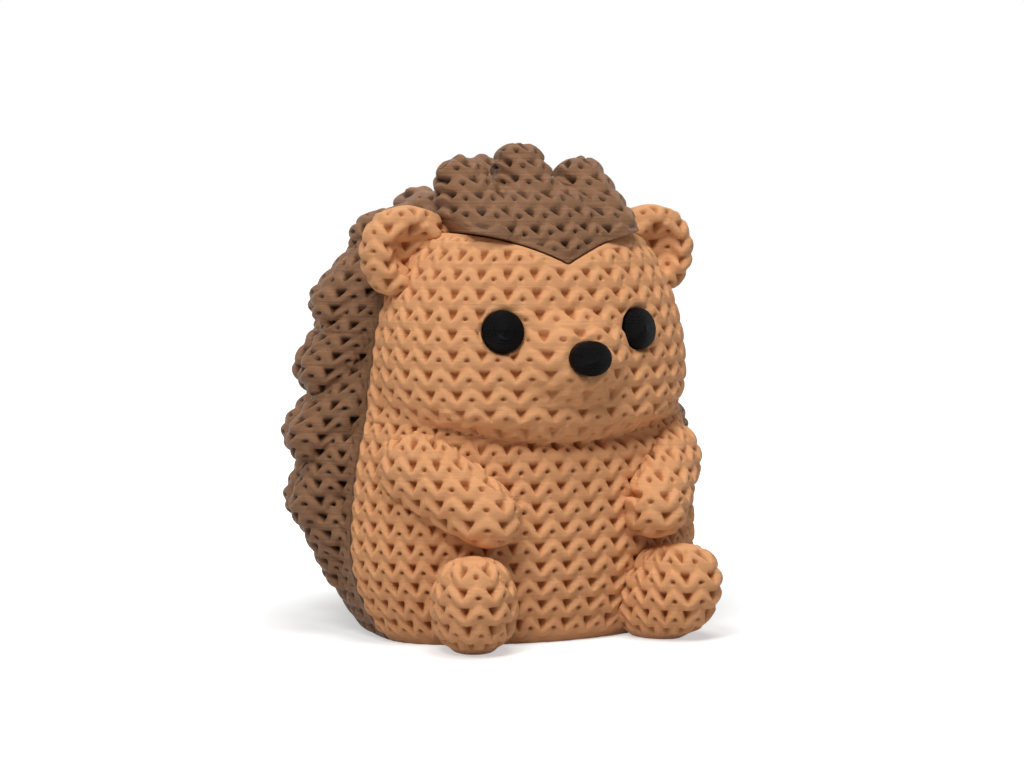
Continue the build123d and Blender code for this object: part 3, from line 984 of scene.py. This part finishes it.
def print_material(name, light, dark, hole_shade, rough, shine, glow):
    """Plastic with layer lines; the third colour is painted shade inside the holes."""
    mat = bpy.data.materials.new(name)
    mat.use_nodes = True
    tree = mat.node_tree
    shader = tree.nodes["Principled BSDF"]
    lines = tree.nodes.new("ShaderNodeGroup")
    lines.node_tree = layers
    lines.inputs["Layer"].default_value = layer_thick
    hole = tree.nodes.new("ShaderNodeAttribute")
    hole.attribute_name = "hole"
    tone = colour_mix(tree, lines.outputs["Streak"], dark, light)
    # The hole depth mixes in the third colour as painted shade, deepest at the bottoms of the holes.
    tree.links.new(colour_mix(tree, hole.outputs["Fac"], tone, hole_shade), shader.inputs["Base Color"])
    gloss = tree.nodes.new("ShaderNodeMapRange")
    gloss.inputs["To Min"].default_value = rough - gloss_less
    gloss.inputs["To Max"].default_value = rough + gloss_more
    tree.links.new(lines.outputs["Streak"], gloss.inputs["Value"])
    tree.links.new(gloss.outputs["Result"], shader.inputs["Roughness"])
    relief = tree.nodes.new("ShaderNodeBump")
    relief.inputs["Strength"].default_value = bump_strength
    relief.inputs["Distance"].default_value = bump_distance
    tree.links.new(lines.outputs["Height"], relief.inputs["Height"])
    tree.links.new(relief.outputs["Normal"], shader.inputs["Normal"])
    shader.inputs["Subsurface Weight"].default_value = glow
    shader.inputs["Subsurface Radius"].default_value = glow_radius
    shader.inputs["Subsurface Scale"].default_value = glow_scale
    shader.inputs["Specular IOR Level"].default_value = shine
    return mat


print("roughness varies by", gloss_less, "down and", gloss_more, "up along the streaks")

# %% [markdown]
# ## Colours
# Each colour is the plastic as it looks in plain white light, in lighter and darker streaks; the darker
# colour in a hole is painted shade. One material could serve all pieces with an attribute for its colour,
# but three with names of their own are easier to find and change.

# %% Colours of the pieces
plastics = {
    "tan_print": print_material(
        "tan_plastic", light=(0.80, 0.402, 0.186), dark=(0.73, 0.352, 0.157), hole_shade=(0.49, 0.178, 0.055),
        rough=0.55, shine=0.2, glow=0.1),
    "brown_print": print_material(
        "brown_plastic", light=(0.325, 0.165, 0.084), dark=(0.2, 0.098, 0.049), hole_shade=(0.02, 0.009, 0.004),
        rough=0.46, shine=0.2, glow=0.0),
    "black_print": print_material(
        "black_plastic", light=(0.004, 0.0035, 0.0035), dark=(0.002, 0.0015, 0.0015),
        hole_shade=(0.003, 0.003, 0.003), rough=0.3, shine=0.06, glow=0.0),
}
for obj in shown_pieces():
    obj.data.materials.clear()
    obj.data.materials.append(plastics[obj.get("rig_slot", "tan_print")])

# %% [markdown]
# ## White for the camera
# The figure stands before plain white. Stronger lamps would make the surroundings white, but they would
# bleach the figure too. A Light Path node tells the rays apart: those that come from the camera, and
# those that shine back from a glossy face or pass through a clear one, may see full white, while the rays
# that light the figure see less.

# %% Rays that see white
white_rays = ("Is Camera Ray", "Is Glossy Ray", "Is Transmission Ray")


def seen_directly(tree):
    """1 for rays from the camera, and for those that shine back or pass through."""
    path = tree.nodes.new("ShaderNodeLightPath")
    seen = path.outputs[white_rays[0]]
    for other in white_rays[1:]:
        seen = math_node(tree, "MAXIMUM", seen, path.outputs[other])
    return seen


print("white shows to:", ", ".join(white_rays))

# %% [markdown]
# ## White paper
# The figure stands on white paper that fades into the background. A backdrop bent up behind it would do,
# but a flat sheet is simpler and has no bend to hide. The paper gives off some white of its own, more of
# it further away, and near the figure it stays dim enough to hold the soft shadow.

# %% Paper
paper_half = 4  # metres
paper_grey, paper_rough, paper_shine = 0.62, 0.9, 0.1
white_from, white_to, white_near = 0.03, 0.16, 0.5  # distances in metres, and the paper's own light inside


def paper_material():
    mat = bpy.data.materials.new("paper")
    mat.use_nodes = True
    tree = mat.node_tree
    shader = tree.nodes["Principled BSDF"]
    shader.inputs["Base Color"].default_value = (paper_grey, paper_grey, paper_grey, 1)
    shader.inputs["Roughness"].default_value = paper_rough
    shader.inputs["Specular IOR Level"].default_value = paper_shine
    shader.inputs["Emission Color"].default_value = (1, 1, 1, 1)
    where = tree.nodes.new("ShaderNodeNewGeometry")
    away = tree.nodes.new("ShaderNodeVectorMath")
    away.operation = "LENGTH"
    tree.links.new(where.outputs["Position"], away.inputs[0])
    own = tree.nodes.new("ShaderNodeMapRange")
    own.interpolation_type = "SMOOTHSTEP"
    own.inputs["From Min"].default_value = white_from
    own.inputs["From Max"].default_value = white_to
    own.inputs["To Min"].default_value = white_near
    tree.links.new(away.outputs["Value"], own.inputs["Value"])
    strength = math_node(tree, "MULTIPLY", own.outputs["Result"], seen_directly(tree))
    tree.links.new(strength, shader.inputs["Emission Strength"])
    return mat


sheet = bpy.data.meshes.new("floor")
corners = [(-paper_half, -paper_half, 0), (paper_half, -paper_half, 0),
           (paper_half, paper_half, 0), (-paper_half, paper_half, 0)]
sheet.from_pydata(corners, [], [(0, 1, 2, 3)])
floor = new_object("floor", sheet)
sheet.materials.append(paper_material())
print("paper", 2 * paper_half, "m wide")

# %% [markdown]
# ## Surroundings
# Soft light comes from all round the figure, and the background is white. A picture of a studio could
# light it from all sides too, but a plain white world is enough: full white where it is seen, and much
# dimmer as a light.

# %% World
world_light = 0.15


def white_world(strength):
    """White where it is seen, and a dimmer light on everything."""
    world = bpy.data.worlds.new("studio")
    world.use_nodes = True
    tree = world.node_tree
    background = tree.nodes["Background"]
    background.inputs["Color"].default_value = (1, 1, 1, 1)
    level = tree.nodes.new("ShaderNodeMapRange")
    level.inputs["To Min"].default_value = strength
    tree.links.new(seen_directly(tree), level.inputs["Value"])
    tree.links.new(level.outputs["Result"], background.inputs["Strength"])
    return world


bpy.context.scene.world = white_world(world_light)
print("the world lights with a strength of", world_light)

# %% [markdown]
# ## Lamps
# The main lamp stands at the upper left in front, one hangs overhead, and a weak one stands at the right.
# Spot lamps or a sun would throw hard shadows into every stitch. Large discs give soft ones, and their
# watts are small because the figure is small and they stand near it.

# %% Lamps
look_at = (0, 0, 0.05)  # metres, as all places of lamps
lamps = {
    "key": dict(place_at=(-0.6, -0.6, 0.9), aim=(0, 0, 0.04), size=0.35, watts=7.1),
    "fill": dict(place_at=(0.6, -0.7, 0.35), aim=look_at, size=0.6, watts=0.1),
    "top": dict(place_at=(-0.1, -0.4, 1.05), aim=look_at, size=0.5, watts=6.0),
}


def add_lamp(name, place_at, aim, size, watts):
    data = bpy.data.lights.new(name, "AREA")
    data.shape = "DISK"
    data.size = size
    data.energy = watts
    obj = new_object(name, data)
    obj.location = place_at
    obj.rotation_mode = "QUATERNION"
    obj.rotation_quaternion = (Vector(aim) - Vector(place_at)).to_track_quat("-Z", "Y")


for name, lamp in lamps.items():
    add_lamp(name, **lamp)
print("lamps of", sum(lamp["watts"] for lamp in lamps.values()), "W in all")

# %% [markdown]
# ## Camera
# The camera stands at the figure's right front, a little above its middle, far enough away for a calm
# perspective. It could be moved by hand until it looks right; giving it two angles, a distance and a
# point to look at makes the view easy to repeat.

# %% Camera
sensor_wide, image_wide, focal_pixels = 36.0, 1024, 2960
camera_turn, camera_lift = -27.0, 4.04  # degrees
camera_away, camera_aim = 0.5654, (0, 0.012, 0.0468)  # metres
near_clip = 0.01

camera = bpy.data.cameras.new("camera")
camera.sensor_width = sensor_wide
camera.lens = focal_pixels / image_wide * sensor_wide
camera.clip_start = near_clip
eye = new_object("camera", camera)
a, e = math.radians(camera_turn), math.radians(camera_lift)
back = Vector((math.sin(a) * math.cos(e), -math.cos(a) * math.cos(e), math.sin(e)))
eye.location = Vector(camera_aim) + back * camera_away
eye.rotation_mode = "QUATERNION"
eye.rotation_quaternion = (-back).to_track_quat("-Z", "Y")
bpy.context.scene.camera = eye
bpy.context.scene.view_settings.view_transform = "Standard"
print("camera at", [round(v, 3) for v in eye.location])
